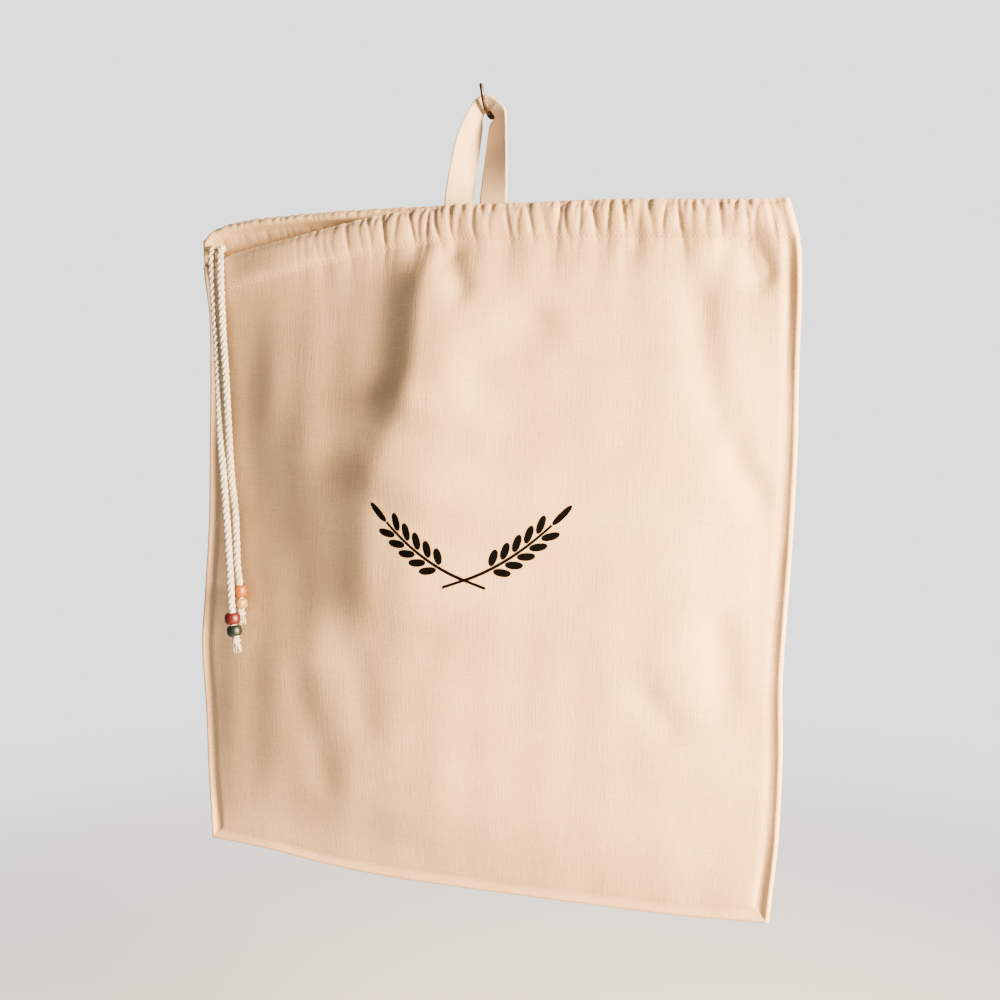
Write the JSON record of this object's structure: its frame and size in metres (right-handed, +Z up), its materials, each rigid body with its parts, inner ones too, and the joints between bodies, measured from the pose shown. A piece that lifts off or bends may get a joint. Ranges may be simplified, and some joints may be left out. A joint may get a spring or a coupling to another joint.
{
  "type": "linen drawstring bread bag on a wall hook",
  "caption": "Flat cloth bag with a gathered casing, a sewn tape loop over a small wire wall hook, and a drawstring whose ends carry wooden beads and knots.",
  "frame": {"origin": "middle of the flat wall face of the hook's collar", "axes": "+X to the right of someone facing the wall, +Y into the wall, +Z up"},
  "size_m": [0.3896, 0.045, 0.4909],
  "materials": {
    "bag_cloth": "matt unbleached plain weave with small slubs",
    "tape": "matt cotton tape",
    "cord": "matt twisted cotton",
    "hook_metal": "darkened, worn smooth",
    "red_wood": "crimson paint, satin",
    "green_wood": "dark green paint, satin",
    "orange_wood": "orange paint, satin",
    "natural_wood": "clear varnish, satin"
  },
  "bodies": {
    "root": {"bread_bag": "bag_cloth", "hanging_loop": "tape", "hook": "hook_metal", "cord_left": "cord", "cord_right": "cord", "bead_red": "red_wood", "bead_green": "green_wood", "bead_orange": "orange_wood", "bead_natural": "natural_wood", "knot_left": "cord", "knot_right": "cord"}
  },
  "joints": []
}
